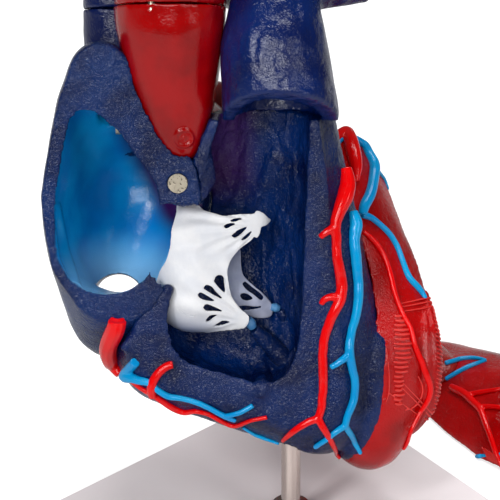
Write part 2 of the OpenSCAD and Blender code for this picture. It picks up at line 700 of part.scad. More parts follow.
// What the front wall takes of a form
module front_part() {
    difference() {
        intersection() { children(); front_side(); }
        form(LV, vessel_rise + gap);
        form(RV_BAND, vessel_rise + gap);
        above_rim(gap);
        aorta_form(2);
    }
}
module front_ventricle_wall() {
    color("midnightblue") lying_front() moulded() difference() {
        front_part() form(RV);
        form(RA);
        form(RV_IN);
        tricuspid_way();
    }
}
module front_atrium_wall() {
    color("royalblue") lying_front() moulded() difference() {
        front_part() form(RA);
        form(RA_IN);
        tricuspid_way();
        translate([0, -gap, 0]) front_magnet_places(-magnet_t, 0.05);
    }
}
module right_auricle() {
    color("royalblue") lying_front() moulded() difference() {
        form(AURICLE);
        form(RA);
        form(RV);
        aorta_form(2);
    }
}
module on_front_wall() {
    lying_front() moulded() difference() {
        intersection() {
            seen_from_front(2, -50) children();
            front_part() { form(RV, vessel_rise); form(RA, vessel_rise); }
        }
        form(RA);
        form(RV);
        form(AURICLE);
    }
}
module front_artery() {
    color("red") on_front_wall() {
        stroke(FRONT_ARTERY, 4.5, 3.1);
        for (p = FRONT_ARTERY_TWIGS) stroke(p, 2.7, 1.9);
    }
}
module front_vein() {
    color("deepskyblue") on_front_wall() difference() {
        union() {
            stroke(FRONT_VEIN, 3.4, 2.6);
            for (p = FRONT_VEIN_TWIGS) stroke(p, 2.6, 1.8);
        }
        offset(0.15) {
            stroke(FRONT_ARTERY, 4.4, 3);
            for (p = FRONT_ARTERY_TWIGS) stroke(p, 2.6, 1.8);
        }
    }
}
module front_magnets() {
    color("silver") lying_front() translate([0, -gap, 0]) front_magnet_places(-magnet_t);
}

// ---- left wall, lying on its cut face behind the stand -------------------------------------------

module lying_left() {
    translate([left_rest[0], left_rest[1], rest_gap]) rotate(left_rest_turn) children();
}
// Carries a form from its place in the heart to the wall as it lies
module laid() {
    rotate([0, -90, 0]) translate([-left_plane, -left_across, -left_mid])
        rotate([0, 0, -left_side]) children();
}
module left_wall() {
    color("firebrick") lying_left() moulded() difference() {
        intersection() { laid() form(LV); above(0); }
        laid() form(LV_IN);
        for (p = LEFT_MAGNETS) translate([left_mid - p[1], p[0] - left_across, -1])
            cylinder(d = magnet_d + 0.1, h = magnet_t + 1.05, $fn = 32);
    }
}
module left_auricle() {
    color("indianred") lying_left() moulded() difference() {
        intersection() { laid() form(LEFT_LOBE); above(0); }
        laid() form(LV);
    }
}
module on_left_wall() {
    lying_left() moulded() difference() {
        intersection() { linear_extrude(60) children(); laid() form(LV, vessel_rise); above(0.5); }
        laid() form(LV);
        laid() form(LEFT_LOBE);
    }
}
module left_wall_artery() {
    color("red") on_left_wall() {
        stroke(LEFT_WALL_ARTERY, 4, 2.4);
        for (p = LEFT_WALL_TWIGS) stroke(p, 2.6, 1.8);
    }
}
module left_wall_vein() {
    color("deepskyblue") on_left_wall() difference() {
        stroke(LEFT_WALL_VEIN, 4, 2.6);
        offset(0.15) {
            stroke(LEFT_WALL_ARTERY, 4, 2.4);
            for (p = LEFT_WALL_TWIGS) stroke(p, 2.6, 1.8);
        }
    }
}
module left_wall_magnets() {
    color("silver") lying_left() for (p = LEFT_MAGNETS)
        translate([left_mid - p[1], p[0] - left_across, 0])
            cylinder(d = magnet_d, h = magnet_t, $fn = 32);
}

base_plate();
base_pad();
rod_bush();
rod();
rod_collar();
rod_socket();
right_atrium();
right_ventricle();
left_ventricle();
left_atrium();
aortic_root();
pulmonary_trunk();
vena_cava_stump();
inferior_vena_cava();
pulmonary_veins();
tricuspid_front();
tricuspid_lower();
tricuspid_back();
papillary_muscles();
papillary_tips();
pulmonary_valve();
mitral_valve();
left_papillary();
aortic_valve();
descending_artery();
lateral_artery();
right_coronary();
marginal_artery();
back_artery();
great_vein();
lateral_vein();
small_vein();
coronary_sinus();
heart_magnets();
aortic_arch();
arch_branches();
upper_vena_cava();
crown_web();
crown_magnets();
front_ventricle_wall();
front_atrium_wall();
right_auricle();
front_artery();
front_vein();
front_magnets();
left_wall();
left_auricle();
left_wall_artery();
left_wall_vein();
left_wall_magnets();
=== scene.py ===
import math

import bmesh
import bpy
import numpy as np
from mathutils import Matrix, Vector
from mathutils.bvhtree import BVHTree


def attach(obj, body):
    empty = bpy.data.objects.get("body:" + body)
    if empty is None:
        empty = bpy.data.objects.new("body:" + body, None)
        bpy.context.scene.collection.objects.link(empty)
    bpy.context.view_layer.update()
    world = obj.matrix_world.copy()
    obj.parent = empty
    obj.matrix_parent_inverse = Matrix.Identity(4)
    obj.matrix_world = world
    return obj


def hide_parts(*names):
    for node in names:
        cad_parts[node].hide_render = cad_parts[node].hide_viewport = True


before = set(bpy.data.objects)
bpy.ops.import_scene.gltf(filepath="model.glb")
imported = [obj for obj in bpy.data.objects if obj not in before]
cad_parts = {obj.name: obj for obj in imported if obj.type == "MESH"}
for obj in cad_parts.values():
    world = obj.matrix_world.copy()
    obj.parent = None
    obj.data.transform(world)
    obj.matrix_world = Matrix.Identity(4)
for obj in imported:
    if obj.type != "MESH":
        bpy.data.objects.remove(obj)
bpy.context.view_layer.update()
print("frame loaded")

# the heart's own frame: x right, y into the depth behind the cut, z up along the cut, in millimetres
heartPlace = {"lean": 20, "front": 12, "height": 46}
leanTurn = Matrix.Rotation(math.radians(-heartPlace["lean"]), 3, "X")
heartOrigin = Vector((0, -heartPlace["front"], heartPlace["height"])) / 1000

# the eye that the picture was taken from; a picture place is in pixels, right and down, and the span is the
# width in metres that the picture takes in at the aim
lens = {"aim": Vector((-0.0128, 0.0097, 0.1057)), "elevation": 34, "distance": 1.35, "span": 0.1525,
        "pixels": 500, "sensor": 36}
tilt = math.radians(lens["elevation"])
away = Vector((0, -math.cos(tilt), math.sin(tilt)))
upward = Vector((0, math.sin(tilt), math.cos(tilt)))
eye = lens["aim"] + away * lens["distance"]
pixelsPerTurn = lens["pixels"] * lens["distance"] / lens["span"]
pixel = lens["span"] / lens["pixels"]

# how a shape is made one even skin: the reach of its weld in metres, and the strength of a smoothing round
skin = {"weld": 0.000002, "smooth": 0.5}
# how a vessel lies: how deep it is sunk, as a part of its own width, and how much stouter than its route says
vesselLay = {"sink": 0.22, "stout": 1.15}
# whole numbers that stir a cell's place into a level that looks random
stir = {"cell": (374761393, 668265263, 2147483647), "seed": 1274126177, "again": 1103515245}


def toRow(p):
    return leanTurn @ (Vector(p) / 1000) + heartOrigin


def toHeart(points):
    return ((points - np.array(heartOrigin)) * 1000) @ np.array(leanTurn)


def toPicture(points):
    way = points - np.array(eye)
    depth = -(way @ np.array(away))
    across = lens["pixels"] / 2 + way[:, 0] / depth * pixelsPerTurn
    down = lens["pixels"] / 2 - (way @ np.array(upward)) / depth * pixelsPerTurn
    return across, down, depth


def rayThrough(across, down):
    half = lens["pixels"] / 2
    right = Vector(((across - half) / pixelsPerTurn, 0, 0))
    return (right + upward * ((half - down) / pixelsPerTurn) - away).normalized()


def deselect():
    bpy.ops.object.select_all(action="DESELECT")


def applied(piece, kind, **settings):
    deselect()
    piece.select_set(True)
    bpy.context.view_layer.objects.active = piece
    step = piece.modifiers.new("step", kind)
    for key, given in settings.items():
        setattr(step, key, given)
    bpy.ops.object.modifier_apply(modifier="step")


def welded(piece):
    applied(piece, "WELD", merge_threshold=skin["weld"])


def smoothed(piece, rounds):
    applied(piece, "SMOOTH", factor=skin["smooth"], iterations=rounds)


def remeshed(piece, voxel, rounds):
    applied(piece, "REMESH", mode="VOXEL", voxel_size=voxel)
    smoothed(piece, rounds)


def pointsOf(piece):
    count = len(piece.data.vertices)
    points, normals = np.empty(count * 3), np.empty(count * 3)
    piece.data.vertices.foreach_get("co", points)
    piece.data.vertices.foreach_get("normal", normals)
    return points.reshape(-1, 3), normals.reshape(-1, 3)


def edgesOf(piece):
    edges = np.empty(len(piece.data.edges) * 2, dtype=np.int32)
    piece.data.edges.foreach_get("vertices", edges)
    return edges.reshape(-1, 2)


def putPoints(piece, points):
    piece.data.vertices.foreach_set("co", np.ascontiguousarray(points).ravel())
    piece.data.update()


def smoothShade(piece):
    piece.data.polygons.foreach_set("use_smooth", [True] * len(piece.data.polygons))
    piece.data.update()


def stepUp(values, low, high):
    t = np.clip((values - low) / (high - low), 0, 1)
    return t * t * (3 - 2 * t)


# a smooth random field from -1 to 1 whose lumps have the given size
def lumps(points, size, seed=0):
    scaled = points / np.asarray(size, dtype=float)
    cell = np.floor(scaled).astype(np.int64)
    t = scaled - cell
    t = t * t * (3 - 2 * t)
    total = np.zeros(len(points))
    for corner in np.ndindex(2, 2, 2):
        at = cell + np.array(corner)
        mixed = (at @ np.array(stir["cell"]) + seed * stir["seed"]) & 0xFFFFFFFF
        mixed = ((mixed ^ (mixed >> 13)) * stir["again"]) & 0xFFFFFFFF
        level = ((mixed ^ (mixed >> 16)) & 0xFFFF) / 32767.5 - 1
        share = np.prod(np.where(np.array(corner) == 1, t, 1 - t), axis=1)
        total += level * share
    return total


def folds(points, size, seed=0):
    warp = np.stack([lumps(points, size, seed + k) for k in (11, 12, 13)], axis=1)
    return 1 - 2 * np.abs(lumps(points + warp * np.asarray(size) * 0.6, size, seed))


# evens out the facets of a casting, but leaves its cut edges as they are
def soften(piece, rounds, sharp=17):
    edges = edgesOf(piece)
    points, normals = pointsOf(piece)
    count = len(points)
    bend = np.einsum("ij,ij->i", normals[edges[:, 0]], normals[edges[:, 1]])
    held = np.zeros(count)
    held[edges[bend < math.cos(math.radians(sharp))].ravel()] = 1
    for _ in range(2):
        grown = held.copy()
        np.maximum.at(grown, edges[:, 0], held[edges[:, 1]])
        np.maximum.at(grown, edges[:, 1], held[edges[:, 0]])
        held = grown
    valence = np.maximum(np.bincount(edges.ravel(), minlength=count), 1)

    def averaged(values):
        total = np.bincount(edges[:, 0], values[edges[:, 1]], count)
        return (total + np.bincount(edges[:, 1], values[edges[:, 0]], count)) / valence

    for _ in range(3):
        held = averaged(held)
    free = np.clip(1 - held, 0, 1)
    for _ in range(rounds):
        for k in range(3):
            points[:, k] += 0.5 * free * (averaged(points[:, k]) - points[:, k])
    putPoints(piece, points)


# a soft casting from a CAD node: remeshed, evened out and given the slight unevenness of a moulding
def casting(node, body, voxel=0.0007, rounds=40, lumpy=0.35, lumpSize=9.0, swells=(), even=3):
    deselect()
    bpy.ops.mesh.primitive_cube_add(size=0.01)
    piece = bpy.context.object
    piece.name = node + "Casting"
    piece.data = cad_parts[node].data.copy()
    piece.data.materials.clear()
    welded(piece)
    if swells:
        swollen(piece, swells)
    remeshed(piece, voxel, even)
    soften(piece, rounds)
    if lumpy:
        points, normals = pointsOf(piece)
        own = toHeart(points)
        swell = lumpy * lumps(own, lumpSize, 3)  # large lumps, then small ones
        swell = swell + 0.3 * lumpy * lumps(own, lumpSize * 0.4, 5)
        putPoints(piece, points + normals * (swell[:, None] / 1000))
    smoothShade(piece)
    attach(piece, body)
    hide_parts(node)
    return piece


def raised(piece, height):
    points, normals = pointsOf(piece)
    putPoints(piece, points + normals * (height[:, None] / 1000))


# how near a point's picture place is to a line through picture places, 1 on the line and 0 at its half width
def alongLine(across, down, line, halfWidth):
    near = np.full(len(across), 1e9)
    for (u0, v0), (u1, v1) in zip(line, line[1:]):
        du, dv = u1 - u0, v1 - v0
        t = np.clip(((across - u0) * du + (down - v0) * dv) / (du * du + dv * dv), 0, 1)
        near = np.minimum(near, np.hypot(across - u0 - t * du, down - v0 - t * dv))
    return np.clip(1 - near / halfWidth, 0, 1)


def facing(piece):
    points, normals = pointsOf(piece)
    toEye = np.array(eye) - points
    toEye /= np.linalg.norm(toEye, axis=1)[:, None]
    return np.einsum("ij,ij->i", normals, toEye)


def groundOf(*pieces):
    form = bmesh.new()
    for piece in pieces:
        form.from_mesh(piece.data)
    tree = BVHTree.FromBMesh(form)
    form.free()
    return tree


def curveThrough(knots, step):
    knots = [Vector(k) for k in knots]
    ends = [2 * knots[0] - knots[1]] + knots + [2 * knots[-1] - knots[-2]]
    run = []
    for a, b, c, d in zip(ends, ends[1:], ends[2:], ends[3:]):
        parts = max(1, round((c - b).length / step))
        for k in range(parts):
            t = k / parts
            bend = (2 * a - 5 * b + 4 * c - d) * t * t + (3 * b - a - 3 * c + d) * t ** 3
            run.append(0.5 * (2 * b + (c - a) * t + bend))
    return run + [knots[-1]]


# a run over the ground through picture places; each place is across, down and a radius in pixels
def laidOn(ground, knots, sink=0.3, step=1.5, stout=1.0):
    places, radii, reach = [], [], lens["distance"]
    for across, down, radius in curveThrough(knots, step):
        radius *= stout
        ray = rayThrough(across, down)
        hit, normal = ground.ray_cast(eye, ray)[:2]
        if hit is None:
            hit, normal = ground.find_nearest(eye + ray * reach)[:2]
        reach = (hit - eye).length
        places.append(hit + normal * radius * pixel * (1 - 2 * sink))
        radii.append(max(radius, 0.5) * pixel)
    for _ in range(4):  # evens the run
        between = [(a + 2 * b + c) / 4 for a, b, c in zip(places, places[1:], places[2:])]
        places = [places[0]] + between + [places[-1]]
    return places, radii


# a run of spheres through picture places at a depth behind the cut; each place is across, down, a radius in
# pixels and a depth in millimetres
def atDepth(knots, step=2.0):
    start = toHeart(np.array([list(eye)]))[0]
    places, radii = [], []
    for across, down, radius, depth in curveThrough(knots, step):
        ray = rayThrough(across, down)
        run = (depth - start[1]) / (np.array(ray) @ np.array(leanTurn))[1]
        places.append(eye + ray * (run / 1000))
        radii.append(radius * pixel)
    return places, radii


def swollen(piece, runs):
    form = bmesh.new()
    form.from_mesh(piece.data)
    for places, radii in runs:
        for place, radius in zip(places, radii):
            bmesh.ops.create_icosphere(form, subdivisions=3, radius=radius, matrix=Matrix.Translation(place))
    form.to_mesh(piece.data)
    form.free()


# materials

def linear(r, g, b):
    return tuple((c / 255) ** 2.2 for c in (r, g, b)) + (1,)


def startMaterial(name):
    material = bpy.data.materials.new(name)
    material.use_nodes = True
    return material, material.node_tree, material.node_tree.nodes["Principled BSDF"]


def join(tree, made, socket, given):
    if isinstance(given, bpy.types.NodeSocket):
        tree.links.new(given, made.inputs[socket])
    else:
        made.inputs[socket].default_value = given


def add(tree, kind, sockets=None, **settings):
    made = tree.nodes.new(kind)
    for key, given in settings.items():
        setattr(made, key, given)
    for socket, given in (sockets or {}).items():
        join(tree, made, socket, given)
    return made


def heartCoordinates(tree):
    place = add(tree, "ShaderNodeTexCoord").outputs["Object"]
    shift = leanTurn.transposed() @ heartOrigin
    return add(tree, "ShaderNodeMapping", {"Vector": place, "Location": tuple(-shift),
               "Rotation": (math.radians(heartPlace["lean"]), 0, 0)}).outputs["Vector"]


def mixColour(tree, factor, a, b):
    made = add(tree, "ShaderNodeMix", data_type="RGBA")
    for socket, given in ((0, factor), (6, a), (7, b)):
        join(tree, made, socket, given)
    return made.outputs[2]


def reckon(tree, operation, a, b=0.0):
    made = add(tree, "ShaderNodeMath", operation=operation)
    join(tree, made, 0, a)
    join(tree, made, 1, b)
    return made.outputs[0]


def rise(tree, factor, low, high, least=0.0, most=1.0):
    return add(tree, "ShaderNodeMapRange", {"Value": factor, "From Min": low, "From Max": high, "To Min": least,
               "To Max": most}, interpolation_type="SMOOTHSTEP").outputs["Result"]


def grain(tree, place, scale, detail=3.0, distortion=0.0, roughness=0.5):
    return add(tree, "ShaderNodeTexNoise", {"Vector": place, "Scale": scale, "Detail": detail,
               "Distortion": distortion, "Roughness": roughness}).outputs["Fac"]


def bumped(tree, shader, layers):
    normal = None
    for height, strength, distance in layers:
        sockets = {"Height": height, "Strength": strength, "Distance": distance}
        if normal is not None:
            sockets["Normal"] = normal
        normal = add(tree, "ShaderNodeBump", sockets).outputs["Normal"]
    tree.links.new(normal, shader.inputs["Normal"])


# glossy painted vinyl: a slightly cloudy coat of paint over a fine crinkle that catches the light, with pale
# painted glints where the crinkle rises; calm names the attribute that takes most of the crinkle away
vinyl = {"cloud": 60.0, "fine": 1500.0, "worm": 880.0, "twist": 1.6, "wormDepth": 0.0007, "fineDepth": 0.0001}


def paintedVinyl(name, colour, deep, paintedGlint=None, paintedGlintShare=0.0, roughness=0.26, crinkle=0.4, zones=None, shine=0.4,
                 calm=None):
    material, tree, shader = startMaterial(name)
    place = heartCoordinates(tree)
    base = mixColour(tree, rise(tree, grain(tree, place, vinyl["cloud"], 3.0), 0.3, 0.62), deep, colour)
    fine = grain(tree, place, vinyl["fine"], 3.0, 0.0, 0.6)
    worm = grain(tree, place, vinyl["worm"], 2.0, vinyl["twist"])
    # painted highlight: pale glints painted on the crests of the crinkle
    if paintedGlint is not None:
        paintedGlintMask = rise(tree, worm, 0.6, 0.74, 0.0, paintedGlintShare)
        base = mixColour(tree, paintedGlintMask, base, paintedGlint)
    if zones is not None:
        base = zones(tree, place, base)
    tree.links.new(base, shader.inputs["Base Color"])
    tree.links.new(rise(tree, fine, 0.3, 0.7, roughness - 0.03, roughness + 0.05), shader.inputs["Roughness"])
    shader.inputs["Specular IOR Level"].default_value = shine
    strength = crinkle
    if calm is not None:
        still = add(tree, "ShaderNodeAttribute", attribute_name=calm).outputs["Fac"]
        strength = rise(tree, still, 0.0, 1.0, crinkle, 0.15 * crinkle)
    bumped(tree, shader, [(worm, strength, vinyl["wormDepth"]), (fine, 0.3 * crinkle, vinyl["fineDepth"])])
    return material


# the right atrium is bright blue inside and paler low down, with a dark plum painted shadow in its upper right
# beside the valve
def atriumZones(tree, place, base):
    inside = add(tree, "ShaderNodeAttribute", attribute_name="inside").outputs["Fac"]
    split = add(tree, "ShaderNodeSeparateXYZ", {"Vector": place})
    low = rise(tree, split.outputs["Z"], 0.062, 0.046)
    soft = grain(tree, place, 45.0)
    tint = mixColour(tree, rise(tree, soft, 0.4, 0.7), linear(2, 142, 206), linear(2, 112, 184))
    tint = mixColour(tree, low, tint, linear(120, 178, 222))
    # painted shadow: dark plum over the upper right of the hollow
    slope = add(tree, "ShaderNodeVectorMath", {0: place, 1: (1, 0.11, 0.442)},
                operation="DOT_PRODUCT").outputs["Value"]
    upper = rise(tree, split.outputs["Z"], 0.056, 0.066)
    shade = reckon(tree, "MULTIPLY", rise(tree, slope, -0.013, -0.004), upper)
    tint = mixColour(tree, shade, tint, linear(44, 14, 66))
    return mixColour(tree, inside, base, tint)


# the outflow part of the right ventricle has a plum shade on its left side
def ventricleZones(tree, place, base):
    split = add(tree, "ShaderNodeSeparateXYZ", {"Vector": place})
    left = rise(tree, split.outputs["X"], -0.008, -0.017)
    high = rise(tree, split.outputs["Z"], 0.070, 0.084)
    inner = rise(tree, split.outputs["Y"], 0.001, 0.006)
    share = reckon(tree, "MULTIPLY", reckon(tree, "MULTIPLY", left, high), reckon(tree, "MULTIPLY", inner, 0.7))
    return mixColour(tree, share, base, linear(58, 26, 74))


# painted shade: the veil is turned blue at its lower left, where it hangs in the shade of the chamber
def veilZones(tree, place, base):
    split = add(tree, "ShaderNodeSeparateXYZ", {"Vector": place})
    low = rise(tree, split.outputs["Z"], 0.046, 0.032)
    left = rise(tree, split.outputs["X"], -0.016, -0.032)
    return mixColour(tree, reckon(tree, "MULTIPLY", low, left), base, linear(36, 66, 118))


def matteVinyl(name, colour, deep, roughness=0.6, grainScale=160.0, strength=0.25, zones=None):
    material, tree, shader = startMaterial(name)
    place = heartCoordinates(tree)
    base = mixColour(tree, rise(tree, grain(tree, place, grainScale, 4.0), 0.3, 0.7), deep, colour)
    if zones is not None:
        base = zones(tree, place, base)
    tree.links.new(base, shader.inputs["Base Color"])
    fine = grain(tree, place, 1100.0)
    tree.links.new(rise(tree, fine, 0.3, 0.7, roughness - 0.05, roughness + 0.08), shader.inputs["Roughness"])
    bumped(tree, shader, [(fine, strength, 0.0003)])
    return material


def metal(name, colour, roughness, stretch, scale):
    material, tree, shader = startMaterial(name)
    place = add(tree, "ShaderNodeTexCoord").outputs["Object"]
    pulled = add(tree, "ShaderNodeMapping", {"Vector": place, "Scale": stretch}).outputs["Vector"]
    fine = grain(tree, pulled, scale, 4.0)
    darker = tuple(0.8 * c for c in colour[:3]) + (1,)
    tree.links.new(mixColour(tree, fine, colour, darker), shader.inputs["Base Color"])
    shader.inputs["Metallic"].default_value = 1.0
    tree.links.new(rise(tree, fine, 0.3, 0.7, roughness - 0.05, roughness + 0.1), shader.inputs["Roughness"])
    bumped(tree, shader, [(fine, 0.15, 0.0002)])
    return material


# the third colour given to a painted vinyl is the colour of its pale painted glints, and the number after it
# their share
paints = {
    "navy": paintedVinyl("navyVinyl", linear(4, 36, 84), linear(2, 19, 54), linear(64, 92, 138), 0.16, 0.15,
                         crinkle=0.7, zones=ventricleZones, shine=0.3),
    "atrium": paintedVinyl("atriumVinyl", linear(5, 40, 88), linear(3, 23, 60), linear(66, 96, 146), 0.22, 0.16,
                           crinkle=0.8, zones=atriumZones, shine=0.3, calm="inside"),
    "trunk": paintedVinyl("trunkVinyl", linear(5, 32, 82), linear(3, 21, 64), roughness=0.2, crinkle=0.3),
    "muscle": paintedVinyl("muscleVinyl", linear(5, 32, 76), linear(3, 18, 50), linear(64, 92, 138), 0.3, 0.16,
                           0.6),
    "red": paintedVinyl("redVinyl", linear(168, 5, 9), linear(132, 3, 6), roughness=0.16, crinkle=0.35,
                        shine=0.32),
    # painted highlight: a paler copy of the red, used on the short ridges
    "hatchPaintedHighlight": paintedVinyl("hatchPaintedHighlightVinyl", linear(206, 52, 48), linear(180, 28, 28), roughness=0.16, crinkle=0.2,
                          shine=0.36),
    "aorta": paintedVinyl("aortaVinyl", linear(146, 4, 8), linear(116, 2, 5), roughness=0.12, crinkle=0.12,
                          shine=0.32),
    "brown": paintedVinyl("brownRedVinyl", linear(150, 32, 27), linear(122, 18, 17), roughness=0.18,
                          crinkle=0.3, shine=0.32),
    "artery": paintedVinyl("arteryPaint", linear(218, 6, 12), linear(200, 4, 8), roughness=0.16, crinkle=0.08,
                           shine=0.32),
    "vein": paintedVinyl("veinPaint", linear(0, 144, 200), linear(0, 128, 190), roughness=0.16, crinkle=0.08,
                         shine=0.32),
    "white": matteVinyl("valveVinyl", linear(218, 218, 220), linear(204, 206, 212), zones=veilZones),
    # painted shade: a greyer blue copy of the valve white, for the back leaflet that hangs behind the front one
    "shadedValve": matteVinyl("valveBackShadedVinyl", linear(170, 174, 194), linear(142, 148, 172)),
    "tip": matteVinyl("tipVinyl", linear(84, 140, 190), linear(58, 110, 166), 0.4),
    "plate": matteVinyl("platePlastic", linear(228, 221, 223), linear(222, 214, 216), 0.35, 25.0, 0.1),
    "rubber": matteVinyl("padRubber", linear(48, 48, 50), linear(34, 34, 36), 0.75),
    "socket": matteVinyl("socketPlastic", linear(188, 188, 190), linear(172, 172, 174), 0.5),
    "steel": metal("rodSteel", linear(206, 194, 186), 0.2, (1, 1, 0.05), 600.0),
    "nickel": metal("magnetNickel", linear(186, 176, 158), 0.3, (1, 1, 1), 1200.0)}
print("materials made")


def paint(piece, name, slot):
    piece.data.materials.clear()
    piece.data.materials.append(paints[name])
    return piece


# the opened heart

atriumForm = {
    "centres": [(-56, 6, 80), (-61, 7, 100), (-50, 22, 60), (-54, 8, 64)],
    "reaches": [34, 18, 30, 28],
    "rimFolds": 1.9,
    "ridges": ([(57, 205), (66, 250), (80, 292), (86, 300)], [(51, 225), (58, 262), (74, 300)]),
    "ridge": 0.7,
    "lobeFoot": 198,
    "lobeLift": 0.6}
atrium = paint(casting("right_atrium", "heart", 0.00062, 40, 0.25, even=7), "atrium", "atrium_blue")


# marks how far a face looks into the hollow that the given centres fill
def markInside(piece, centres, reaches):
    points, normals = pointsOf(piece)
    own, turned = toHeart(points), normals @ np.array(leanTurn)
    look = np.full(len(own), -1.0)
    for centre, reach in zip(centres, reaches):
        way = np.array(centre) - own
        length = np.maximum(np.linalg.norm(way, axis=1), 1e-6)
        toward = np.einsum("ij,ij->i", turned, way) / length
        look = np.maximum(look, np.where(length < reach, toward, -1))
    mark = stepUp(look, 0.02, 0.3) * stepUp(own[:, 1], 0.2, 1.2)
    piece.data.attributes.new("inside", "FLOAT", "POINT").data.foreach_set("value", mark.astype(np.float32))
    return mark


inside = markInside(atrium, atriumForm["centres"], atriumForm["reaches"])
points = pointsOf(atrium)[0]
own = toHeart(points)
rim = stepUp(-own[:, 1], -0.6, -0.1)
across, down = toPicture(points)[:2]
height = rim * (0.26 * folds(own, atriumForm["rimFolds"], 4) - 0.08)
for line in atriumForm["ridges"]:
    height += atriumForm["ridge"] * inside * stepUp(alongLine(across, down, line, 5), 0, 1)
# the lobe that carries the magnet ends in a smooth lower edge
lobe = stepUp(across, 148, 158) * stepUp(206 - across, 0, 8) * stepUp(down, 196, 204)
lobe = lobe * (down < 226) * (own[:, 1] < 9)
lift = atriumForm["lobeLift"] * lobe * np.maximum(down - atriumForm["lobeFoot"], 0) * pixel
putPoints(atrium, points + lift[:, None] * np.array(leanTurn)[:, 2])
raised(atrium, height)

leftForm = {
    "lip": [(424, 296, 6), (428, 315, 9), (431, 340, 11), (432, 362, 12), (431, 385, 12), (425, 407, 11),
            (412, 427, 9)],
    "groove": [(424, 292), (431, 325), (433, 355), (434, 385), (429, 415), (418, 440), (400, 456)],
    "rib": [(386, 345), (389, 372), (389, 392), (386, 402)]}
leftLip = laidOn(groundOf(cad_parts["left_ventricle"]), leftForm["lip"], 0.5, 2)
leftVentricle = paint(casting("left_ventricle", "heart", 0.00068, 40, 0.3, swells=[leftLip]), "red",
                      "red_vinyl")
points = pointsOf(leftVentricle)[0]
across, down = toPicture(points)[:2]
toward = stepUp(facing(leftVentricle), 0.05, 0.3)
groove = stepUp(alongLine(across, down, leftForm["groove"], 5), 0, 1)
rib = stepUp(alongLine(across, down, leftForm["rib"], 3), 0, 1)
band = stepUp(across, 433, 438) * (down > 290) * (down < 430)
raised(leftVentricle, toward * (0.45 * rib - 0.6 * groove + 0.25 * band * np.sin(down * 1.5)))

# the right ventricle's fills: the crack beside the right atrium, the lobe below the magnet, the edge that laps
# over the left ventricle, and the muscle on its floor
rightForm = {
    "crack": [(168, 290, 7, 2.0), (160, 302, 8, 2.3), (151, 315, 9, 2.6), (142, 328, 9, 2.6),
              (133, 339, 8, 2.4), (126, 347, 6, 2.0)],
    "lobe": [(176, 198, 7, 2.4), (188, 200, 8, 2.6), (197, 196, 9, 3.2), (204, 188, 10, 4.0),
             (208, 176, 10, 4.2), (207, 163, 9, 3.6), (205, 150, 7, 2.6), (206, 138, 6, 2.0)],
    "edge": [(366, 276, 8), (373, 305, 10), (377, 335, 11), (378, 365, 11), (377, 395, 11), (372, 420, 11),
             (364, 440, 11), (350, 455, 11), (332, 458, 10), (312, 452, 8)],
    "floor": [(258, 350, 7), (263, 370, 9), (262, 392, 8)],
    "beams": (3.2, 5, 8.0),
    "scratches": ([(180, 352), (208, 366)], [(186, 368), (240, 386), (272, 403)]),
    "swells": (
        ([(232, 112), (234, 150), (226, 196)], 15, 1.6),
        ([(272, 158), (264, 185), (251, 206)], 10, 1.3))}
ventricleFills = [
    atDepth(rightForm["crack"]), atDepth(rightForm["lobe"]),
    laidOn(groundOf(leftVentricle), rightForm["edge"], 0.84, 2.5),
    laidOn(groundOf(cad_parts["right_ventricle"]), rightForm["floor"], 0.62, 2)]
ventricle = paint(casting("right_ventricle", "heart", 0.00068, 40, 0.3, swells=ventricleFills, even=6), "navy",
                  "navy_vinyl")
points = pointsOf(ventricle)[0]
own = toHeart(points)
across, down = toPicture(points)[:2]
deep = stepUp(own[:, 1], 1.0, 4.0) * stepUp(facing(ventricle), 0.1, 0.4)
deep = deep * (across > 195) * (across < 312) * (down < 420)
beams = folds(own, rightForm["beams"], 21)
height = deep * 0.55 * stepUp(beams, 0.1, 1.0) + (1 - deep) * 0.14 * folds(own, 1.9, 8)
for line in rightForm["scratches"]:
    height += 0.25 * stepUp(alongLine(across, down, line, 2.0), 0, 1)
for line, halfWidth, swell in rightForm["swells"]:
    height += swell * deep * stepUp(alongLine(across, down, line, halfWidth), 0, 1)
raised(ventricle, height)

paint(casting("left_atrium", "heart"), "brown", "brown_red")
aorta = paint(casting("aortic_root", "heart", 0.0006, 50, 0.3, 12), "aorta", "red_vinyl")
points = pointsOf(aorta)[0]
across, down = toPicture(points)[:2]
ring = {"at": (184, 138), "radius": 8, "half": 2.6, "dot": 3}
fromRing = np.hypot(across - ring["at"][0], down - ring["at"][1])
front = stepUp(facing(aorta), 0.2, 0.5)
circle = stepUp(1 - np.abs(fromRing - ring["radius"]) / ring["half"], 0, 1)
raised(aorta, front * (0.8 * circle + 0.6 * stepUp(ring["dot"] - fromRing, 0, 2)))
trunk = paint(casting("pulmonary_trunk", "heart", 0.00065, 40, 0.6, 11), "trunk", "navy_vinyl")
points = pointsOf(trunk)[0]
own = toHeart(points)
wrinkles = 0.22 * folds(own, (4.0, 5, 6.5), 31) + 0.1 * folds(own, 2.2, 37)
raised(trunk, stepUp(facing(trunk), 0, 0.4) * wrinkles)
for node, look, slot in (("vena_cava_stump", "trunk", "atrium_blue"),
                         ("pulmonary_veins", "brown", "brown_red")):
    paint(casting(node, "heart", 0.0006, 20), look, slot)
lowerCava = paint(casting("inferior_vena_cava", "heart", 0.0006, 20), "atrium", "atrium_blue")
boreLine = [(-54, y, 43.3 - (y - 18) * 0.25) for y in range(16, 62, 4)]
markInside(lowerCava, boreLine, [9] * len(boreLine))
for node, look, slot, voxel in (("papillary_muscles", "muscle", "navy_vinyl", 0.0004),
                                ("left_papillary", "red", "red_vinyl", 0.0005),
                                ("pulmonary_valve", "muscle", "navy_vinyl", 0.0003),
                                ("aortic_valve", "white", "valve_white", 0.0003),
                                ("mitral_valve", "white", "valve_white", 0.0003)):
    paint(casting(node, "heart", voxel, 6, 0.12, 3.0), look, slot)
print("heart castings made")

# crown and removed walls

